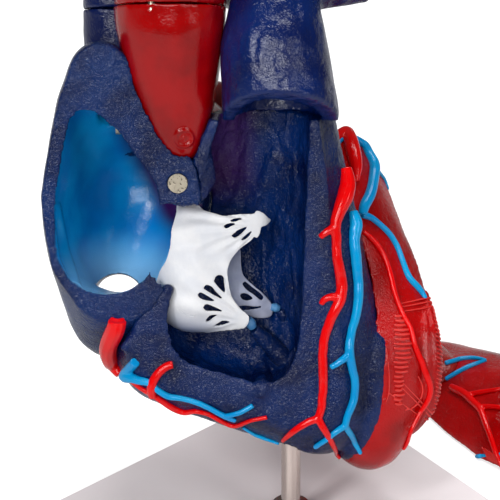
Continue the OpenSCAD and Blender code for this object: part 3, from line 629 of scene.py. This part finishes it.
for node, look, slot in (("aortic_arch", "aorta", "red_vinyl"), ("arch_branches", "aorta", "red_vinyl"),
                         ("upper_vena_cava", "trunk", "atrium_blue"), ("crown_web", "trunk", "atrium_blue")):
    paint(casting(node, "crown", 0.0007, 25), look, slot)
for node, look, slot in (("front_ventricle_wall", "navy", "navy_vinyl"),
                         ("front_atrium_wall", "trunk", "atrium_blue"),
                         ("right_auricle", "navy", "atrium_blue")):
    paint(casting(node, "front_wall", 0.0007, 30), look, slot)
leftWall = paint(casting("left_wall", "side_wall", 0.00055, 30, 0.25), "red", "red_vinyl")
leftLobe = paint(casting("left_auricle", "side_wall", 0.0005, 25), "brown", "brown_red")
print("crown and removed walls made")


# coronary vessels: round strands through given places, each with its own radius there

strandBevel = 0.001


def strands(name, runs, voxel=0.00025, rounds=6):
    deselect()
    bpy.ops.curve.primitive_bezier_curve_add(radius=0.01)
    piece = bpy.context.object
    piece.name = name
    line = piece.data
    line.splines.clear()
    line.dimensions = "3D"
    line.bevel_depth = strandBevel
    line.bevel_resolution = 3
    line.use_fill_caps = True
    for places, radii in runs:
        spline = line.splines.new("POLY")
        spline.points.add(len(places) - 1)
        for point, place, radius in zip(spline.points, places, radii):
            point.co = (*place, 1)
            point.radius = radius / strandBevel
    bpy.ops.object.convert(target="MESH")
    welded(piece)
    remeshed(piece, voxel, rounds)
    smoothShade(piece)
    return piece


caps = [[((-11.9, 12.3, 35.6), 1.3), ((-12.6, 11.9, 37.2), 1.75), ((-13.4, 11.5, 38.8), 1.3)],
        [((-3.8, 17.4, 40.5), 1.1), ((-4.9, 17.0, 40.9), 1.5), ((-6.2, 16.5, 41.2), 1.1)]]
capRuns = [([toRow(at) for at, r in cap], [r / 1000 for at, r in cap]) for cap in caps]
tips = strands("papillaryCaps", capRuns, 0.0002, 4)
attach(tips, "heart")
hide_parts("papillary_tips")
paint(tips, "tip", "tip_blue")
heartGround = groundOf(atrium, ventricle, leftVentricle, aorta, trunk)
wallGround = groundOf(leftWall, leftLobe)
leftGround = groundOf(leftVentricle)
vesselRoutes = {
    "descending_artery": [
        [(339, 122, 3), (345, 134, 6), (350, 150, 7), (354, 166, 6), (355, 182, 3)],
        [(343, 168, 5), (344, 182, 7), (342, 196, 7.5), (337, 211, 6), (334, 224, 5), (335, 240, 4.5),
         (336, 256, 4.5), (339, 274, 5), (340, 290, 5.2), (338, 302, 5), (331, 318, 4.5), (325, 335, 4.3),
         (323, 350, 4.2), (323, 370, 4.2), (323, 390, 4), (321, 408, 3.8), (318, 418, 3.6)],
        [(334, 226, 4.5), (327, 231, 3.5), (320, 237, 2.6)],
        [(338, 297, 4.5), (331, 296, 3.5), (324, 299, 3), (321, 304, 2.6)],
        [(318, 418, 3.6), (309, 421, 3.4), (300, 426, 3.2), (291, 432, 2.8), (283, 440, 2)],
        [(318, 418, 3.6), (325, 430, 3.2), (332, 443, 2.6), (340, 459, 1.8)]],
    "lateral_artery": [
        [(363, 232, 2.2), (372, 240, 2.6), (381, 252, 2.6), (387, 266, 2.6), (391, 280, 2.6),
         (395, 296, 2.5), (402, 314, 2.5), (410, 329, 2.5), (414, 345, 2.6), (420, 360, 2.8), (427, 374, 3),
         (430, 388, 2.8), (427, 401, 2.5), (420, 413, 2.2), (412, 428, 2), (406, 442, 2), (403, 450, 1.4)]],
    "great_vein": [
        [(343, 126, 1.6), (352, 131, 3), (361, 142, 4), (367, 155, 4.5), (372, 167, 5.2), (371, 182, 5),
         (368, 196, 5.2), (363, 206, 5), (361, 216, 4)],
        [(351, 211, 4), (353, 224, 6), (352, 240, 5), (354, 258, 5), (356, 276, 4.6), (357, 296, 4.5),
         (355, 314, 4.2), (350, 334, 4), (348, 352, 4.4), (351, 368, 4), (354, 384, 3.8), (352, 400, 3.8),
         (346, 416, 3.4), (344, 425, 3.4)],
        [(348, 354, 4), (340, 361, 3.2), (331, 367, 2.6)],
        [(344, 425, 3.2), (335, 431, 2.8), (325, 439, 2.6), (315, 446, 2.4)],
        [(344, 425, 3.2), (352, 437, 2.8), (361, 453, 2)]],
    "lateral_vein": [
        [(361, 215, 3.5), (370, 218, 3), (379, 225, 2.8), (388, 234, 2.8), (396, 247, 2.8), (402, 263, 2.8),
         (408, 278, 3), (417, 288, 3), (426, 299, 2)],
        [(374, 168, 2), (382, 177, 1.6), (392, 188, 1)]],
    "small_vein": [
        [(121, 374, 4.5), (128, 375, 5.4), (135, 377, 4.4), (142, 380, 3.8), (149, 382, 3.4), (158, 389, 3),
         (168, 395, 3), (184, 398, 2.6), (200, 403, 2.6), (215, 410, 2.6), (227, 416, 2.6), (236, 420, 2)],
        [(226, 415, 2.4), (240, 412, 2.4), (253, 405, 2.4)],
        [(243, 427, 1.4), (260, 437, 1.8), (279, 447, 1.4)]],
    "marginal_artery": [
        [(131, 380, 2), (143, 388, 2.4), (160, 398, 2.8), (173, 406, 3.2), (185, 411, 2.8), (196, 410, 2.4),
         (210, 414, 2.2), (225, 422, 2.2), (236, 425, 2.2), (250, 420, 2), (267, 417, 2)],
        [(153, 394, 4), (152, 385, 4.2), (157, 374, 4), (166, 366, 3.8), (173, 364, 3.6)]]}


def vesselPaint(node):
    return ("artery", "artery_red") if node.endswith("artery") else ("vein", "vein_blue")


# the trunk would catch a route that starts above its foot, so such a route is laid on the left ventricle alone
trunkFoot = 130
for node, routes in vesselRoutes.items():
    grounds = [leftGround if route[0][1] < trunkFoot else heartGround for route in routes]
    piece = strands(node + "Run",
                    [laidOn(ground, route, **vesselLay) for ground, route in zip(grounds, routes)])
    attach(piece, "heart")
    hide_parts(node)
    paint(piece, *vesselPaint(node))
wallRoutes = {
    "left_wall_artery": [
        [(452, 388, 3.5), (458, 391, 4), (466, 395, 4), (473, 402, 3.8), (481, 410, 3.6), (487, 425, 3),
         (493, 443, 2.8), (500, 461, 2.6), (508, 476, 2)],
        [(468, 396, 3), (474, 394, 2.6), (486, 392, 2.4), (500, 390, 2.2), (512, 386, 1.6)],
        [(479, 408, 3), (488, 407, 2.6), (500, 408, 2.4), (514, 412, 1.6)]],
    "left_wall_vein": [
        [(446, 380, 2.2), (458, 373, 2.4), (470, 367, 2.4), (486, 361, 1.8)],
        [(445, 364, 2.4), (460, 360, 2.4), (474, 359, 2.2), (486, 361, 1.8)],
        [(469, 458, 2), (481, 456, 2.2)]]}
for node, routes in wallRoutes.items():
    piece = strands(node + "Run", [laidOn(wallGround, route, **vesselLay) for route in routes])
    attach(piece, "side_wall")
    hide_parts(node)
    paint(piece, *vesselPaint(node))
stumpForm = {"route": [(119, 319, 9.5), (114, 328, 10), (110, 338, 9.8), (109, 348, 9.4), (112, 358, 8.6),
                       (117, 367, 7), (121, 374, 5)], "mouth": (118, 316), "halves": (9, 5), "foot": 325}
stump = laidOn(heartGround, stumpForm["route"], 0.2)
stumpPiece = strands("coronaryStump", [stump], 0.0003)
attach(stumpPiece, "heart")
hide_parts("right_coronary")
paint(stumpPiece, "artery", "artery_red")
points = pointsOf(stumpPiece)[0]
across, down = toPicture(points)[:2]
mouth = np.hypot((across - stumpForm["mouth"][0]) / stumpForm["halves"][0],
                 (down - stumpForm["mouth"][1]) / stumpForm["halves"][1])
lip = stepUp(1 - np.abs(mouth - 0.85) / 0.35, 0, 1)
raised(stumpPiece, (down < stumpForm["foot"]) * (0.5 * lip - 0.8 * stepUp(0.35 - mouth, 0, 0.3)))
for node, body, look, slot in (("back_artery", "heart", "artery", "artery_red"),
                               ("coronary_sinus", "heart", "vein", "vein_blue"),
                               ("front_artery", "front_wall", "artery", "artery_red"),
                               ("front_vein", "front_wall", "vein", "vein_blue")):
    paint(casting(node, body, 0.0003, 10, 0), look, slot)
print("vessels made")

# short ridges on the left ventricle and on its loose wall, in a paler red that is painted highlight

ridgeForm = {
    "rows": 20, "top": 316, "pitch": 4.6, "start": 394, "end": 403, "bulge": 8,
    "edgeRows": 32, "edgeTop": 296, "edgePitch": 4.2,
    "curve": [(418, 376, 1), (423, 388, 1.2), (420, 400, 1.2), (412, 408, 1.1), (405, 410, 0.8)],
    "rib": [(386, 345, 0.6), (389, 372, 0.8), (389, 392, 0.8), (386, 402, 0.6)]}
ridges = []
for k in range(ridgeForm["rows"]):
    down = ridgeForm["top"] + ridgeForm["pitch"] * k
    start = ridgeForm["start"] + 0.8 * math.sin(1.7 * k)
    bulge = ridgeForm["bulge"] * math.sin(math.pi * min(1, k / 14))
    end = ridgeForm["end"] + bulge + 1.5 * math.sin(2.3 * k)
    route = [(start, down, 1.2), ((start + end) / 2, down + 0.6, 1.6), (end, down - 0.3, 1.2)]
    ridges.append(laidOn(heartGround, route, 0.16, 1))
for k in range(ridgeForm["edgeRows"]):
    down = ridgeForm["edgeTop"] + ridgeForm["edgePitch"] * k
    right = 434 + 12 * math.sin(math.pi * (k + 6) / 44)
    route = [(right - 9, down - 2, 0.8), (right - 4, down, 1.2), (right, down + 1.5, 0.9)]
    ridges.append(laidOn(heartGround, route, 0.35, 1))
ridges.append(laidOn(heartGround, ridgeForm["curve"], 0.35))
ridges.append(laidOn(heartGround, ridgeForm["rib"], 0.35))
ridgePiece = paint(strands("ventricleRidges", ridges, 0.0002, 3), "hatchPaintedHighlight", "red_vinyl")
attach(ridgePiece, "heart")
tickForm = {"rows": 8, "step": (2.4, 1.2), "route": [(482, 447, 0.9), (486, 453, 1.2), (488, 460, 0.9)]}
ticks = []
for k in range(tickForm["rows"]):
    right, lower = tickForm["step"]
    route = [(u + right * k, v + lower * k, radius) for u, v, radius in tickForm["route"]]
    ticks.append(laidOn(wallGround, route, 0.2, 1))
tickPiece = paint(strands("wallRidges", ticks, 0.0002, 3), "hatchPaintedHighlight", "red_vinyl")
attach(tickPiece, "side_wall")
print("ridges made")

# tricuspid valve

# the form that the front sheet hangs on: a hull round spheres, in the heart's own frame, x, y, z and radius
veil = [(-31, 16, 62, 13.6), (-30, 15, 47, 13.1), (-15, 12, 40, 5.6), (-12, 13, 72, 5.6)]
form = bmesh.new()
for x, y, z, radius in veil:
    bmesh.ops.create_icosphere(form, subdivisions=5, radius=radius, matrix=Matrix.Translation((x, y, z)))
hull = bmesh.ops.convex_hull(form, input=form.verts)
spare = {g for g in hull["geom_interior"] + hull["geom_unused"] if isinstance(g, bmesh.types.BMVert)}
bmesh.ops.delete(form, geom=list(spare), context="VERTS")
for vert in form.verts:
    vert.co = toRow(vert.co)
bmesh.ops.recalc_face_normals(form, faces=form.faces)
veilGround = BVHTree.FromBMesh(form)
form.free()


# a sheet cut to an outline of picture places, with slots, then carried by place() to where it hangs, in metres
sheet = {"thickness": 0.0008, "voxel": 0.0002, "step": 1.2}


def drawnSheet(name, outline, slots, place):
    deselect()
    bpy.ops.curve.primitive_bezier_curve_add(radius=0.01)
    piece = bpy.context.object
    piece.name = name
    line = piece.data
    line.splines.clear()
    line.dimensions = "2D"
    line.fill_mode = "BOTH"
    line.extrude = sheet["thickness"] / 2
    for edge in [outline] + slots:
        loop = curveThrough([(u, v, 0) for u, v in edge + edge[:1]], sheet["step"])[:-1]
        spline = line.splines.new("POLY")
        spline.points.add(len(loop) - 1)
        spline.use_cyclic_u = True
        for point, spot in zip(spline.points, loop):
            point.co = (spot.x * pixel, -spot.y * pixel, 0, 1)
    bpy.ops.object.convert(target="MESH")
    welded(piece)
    remeshed(piece, sheet["voxel"], 4)
    points = pointsOf(piece)[0]
    putPoints(piece, np.array([place(x / pixel, -y / pixel, z) for x, y, z in points]))
    smoothed(piece, 3)
    smoothShade(piece)
    return piece


def onVeil(across, down, lift):
    ray = rayThrough(across, down)
    hit, normal = veilGround.ray_cast(eye, ray)[:2]
    if hit is None:
        hit, normal = veilGround.find_nearest(eye + ray * lens["distance"])[:2]
    return hit + normal * lift


frontOutline = [(177, 205), (182, 202.5), (189, 202.5), (197, 203.5), (203, 210), (212, 213), (223, 216),
                (233, 215), (245, 214), (254, 213.5), (256.5, 210.5), (263, 213), (267, 217), (270, 220),
                (266, 225), (261, 227), (260, 232), (257, 237.5), (253.5, 237), (250, 241), (240, 248.5),
                (232, 258), (227.5, 268), (228.5, 283), (232, 297), (240, 308), (249, 317), (245, 327),
                (233, 329), (215, 331), (203, 333.5), (195, 336.5), (188, 339), (180, 338.5), (170, 333),
                (159, 317), (154.5, 305), (155, 290), (160, 272), (166.5, 260), (170, 248), (171, 240),
                (172, 230), (174, 222), (176.5, 213)]
frontSlots = [
    [(223, 226), (229, 223.4), (236, 223.6), (231, 226.6), (225.6, 228.4)],
    [(231, 235.6), (237, 230.6), (247, 226.8), (241.6, 233.4), (235, 237.6)],
    [(240, 240.6), (246, 234.4), (252, 230.6), (247, 238.4)],
    [(228, 221.2), (234, 218.6), (243, 218.4), (235, 221.6)],
    [(213.3, 281), (215.5, 276.5), (219, 275), (223.3, 276.6), (224.4, 285), (225, 293), (219, 288)],
    [(203.2, 288.3), (206, 284.8), (211.5, 286.6), (216, 292), (223.4, 299.4), (213, 294.4)],
    [(197.4, 294.8), (200.4, 292), (208, 296), (215.2, 301), (208, 300.6), (201, 298.6)],
    [(203, 307), (206, 304), (213.4, 306.4), (223.4, 311.4), (215, 311), (208.4, 311.4), (204.6, 310)],
    [(205, 320.4), (210, 315.2), (217.6, 314.4), (213, 318), (208.4, 321.6)],
    [(212, 326), (222, 320.5), (230, 322), (222, 325.6)]]
frontSheet = drawnSheet("tricuspidSheet", frontOutline, frontSlots, onVeil)
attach(frontSheet, "heart")
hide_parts("tricuspid_front", "tricuspid_lower")
paint(frontSheet, "white", "valve_white")
points = pointsOf(frontSheet)[0]
across, down = toPicture(points)[:2]
# fine folds fan out from the veil's two points, each over its own side of a level halfway down
fans, halfway = np.zeros(len(points)), 252
for (u, v), spread in (((262, 224), 26.0), ((250, 322), 20.0)):
    angle = np.arctan2(down - v, u - across)
    reach = np.hypot(across - u, down - v)
    share = stepUp(halfway - down, -8, 8) if v < halfway else stepUp(down - halfway, -8, 8)
    share = share * stepUp(reach, 12, 24) * stepUp(110 - reach, 0, 40)
    fans += share * np.sin(angle * spread + 1.3 * lumps(toHeart(points), 7, 2))
raised(frontSheet, stepUp(facing(frontSheet), 0.1, 0.5) * 0.22 * fans)

backDepth = toPicture(pointsOf(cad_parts["tricuspid_back"])[0])[2].mean()


def behindVeil(across, down, lift):
    ray = rayThrough(across, down)
    bulge = 0.004 * (((across - 248) / 30) ** 2 + ((down - 285) / 40) ** 2)
    return eye + ray * ((backDepth + bulge - lift) / -(ray @ away))


backOutline = [(231, 252), (240, 249), (241, 263), (243.5, 275), (253, 285), (263, 293.5), (272, 305),
               (271, 316), (257, 318), (245, 313), (233, 300), (226, 286), (225, 266)]
backSlots = [
    [(242.4, 284), (245, 281.6), (252, 287), (260, 293), (263.4, 297), (261, 300), (253, 294), (246, 289)],
    [(239.8, 295), (243, 293.2), (248, 294.4), (252.6, 298.4), (247, 300.4), (242, 299)],
    [(239, 306), (246, 305.6), (254, 306.6), (265, 306), (256, 308.6), (248, 309.6), (240, 309.4)]]
backSheet = drawnSheet("tricuspidBackSheet", backOutline, backSlots, behindVeil)
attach(backSheet, "heart")
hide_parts("tricuspid_back")
# the back leaflet takes the greyer copy of the valve white as painted shade
paint(backSheet, "shadedValve", "valve_white")
print("valve made")

# stand and magnets, which keep their CAD shapes

for node, look in (("base_plate", "plate"), ("base_pad", "rubber"), ("rod", "steel"), ("rod_bush", "steel"),
                   ("rod_collar", "steel"), ("rod_socket", "socket"), ("heart_magnets", "nickel"),
                   ("crown_magnets", "nickel"), ("front_magnets", "nickel"), ("left_wall_magnets", "nickel")):
    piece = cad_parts[node]
    piece.data.materials.clear()
    piece.data.materials.append(paints[look])
print("stand painted")

# floor, light and camera

studio = {"floor": 3.0, "floorDrop": 0.0002, "floorTone": 0.6, "floorGlow": 0.6, "worldLevel": 0.1,
          "aim": (0, 0, 0.1)}
softBoxes = {
    "keyBox": {"place": (-0.8, -0.95, 1.2), "size": (0.26, 0.42), "power": 12},
    "frontBox": {"place": (-0.25, -1.5, 0.95), "size": (1.1, 0.6), "power": 17},
    "fillBox": {"place": (1.0, -0.8, 0.7), "size": (0.4, 0.7), "power": 4},
    "topBox": {"place": (0.1, 0.4, 1.4), "size": (1.0, 0.6), "power": 15}}
deselect()
bpy.ops.mesh.primitive_plane_add(size=studio["floor"], location=(0, 0, -studio["floorDrop"]))
floor = bpy.context.object
floor.name = "studioFloor"
floorMaterial, tree, shader = startMaterial("studioFloor")
shader.inputs["Base Color"].default_value = (studio["floorTone"],) * 3 + (1,)
shader.inputs["Roughness"].default_value = 1.0
shader.inputs["Specular IOR Level"].default_value = 0.0
rays = add(tree, "ShaderNodeLightPath").outputs
seen = reckon(tree, "MAXIMUM", rays["Is Camera Ray"], rays["Is Transmission Ray"])
shader.inputs["Emission Color"].default_value = (1, 1, 1, 1)
glow = reckon(tree, "MULTIPLY", seen, studio["floorGlow"])
tree.links.new(glow, shader.inputs["Emission Strength"])
floor.data.materials.append(floorMaterial)

world = bpy.context.scene.world or bpy.data.worlds.new("studioWorld")
bpy.context.scene.world = world
world.use_nodes = True
tree = world.node_tree
background = tree.nodes["Background"]
background.inputs["Color"].default_value = (1, 1, 1, 1)
seen = add(tree, "ShaderNodeLightPath").outputs["Is Camera Ray"]
tree.links.new(rise(tree, seen, 0.0, 1.0, studio["worldLevel"], 1.0), background.inputs["Strength"])
for name, box in softBoxes.items():
    bpy.ops.object.light_add(type="AREA", location=box["place"])
    lamp = bpy.context.object
    lamp.name = name
    lamp.data.shape = "RECTANGLE"
    lamp.data.size, lamp.data.size_y = box["size"]
    lamp.data.energy = box["power"]
    look = Vector(studio["aim"]) - Vector(box["place"])
    lamp.rotation_euler = look.to_track_quat("-Z", "Y").to_euler()

bpy.ops.object.camera_add(location=eye)
camera = bpy.context.object
camera.rotation_euler = (-away).to_track_quat("-Z", "Y").to_euler()
camera.data.sensor_width = lens["sensor"]
camera.data.lens = lens["sensor"] * lens["distance"] / lens["span"]
camera.data.clip_start = 0.01
bpy.context.scene.camera = camera
bpy.context.scene.view_settings.view_transform = "Standard"
print("studio made")
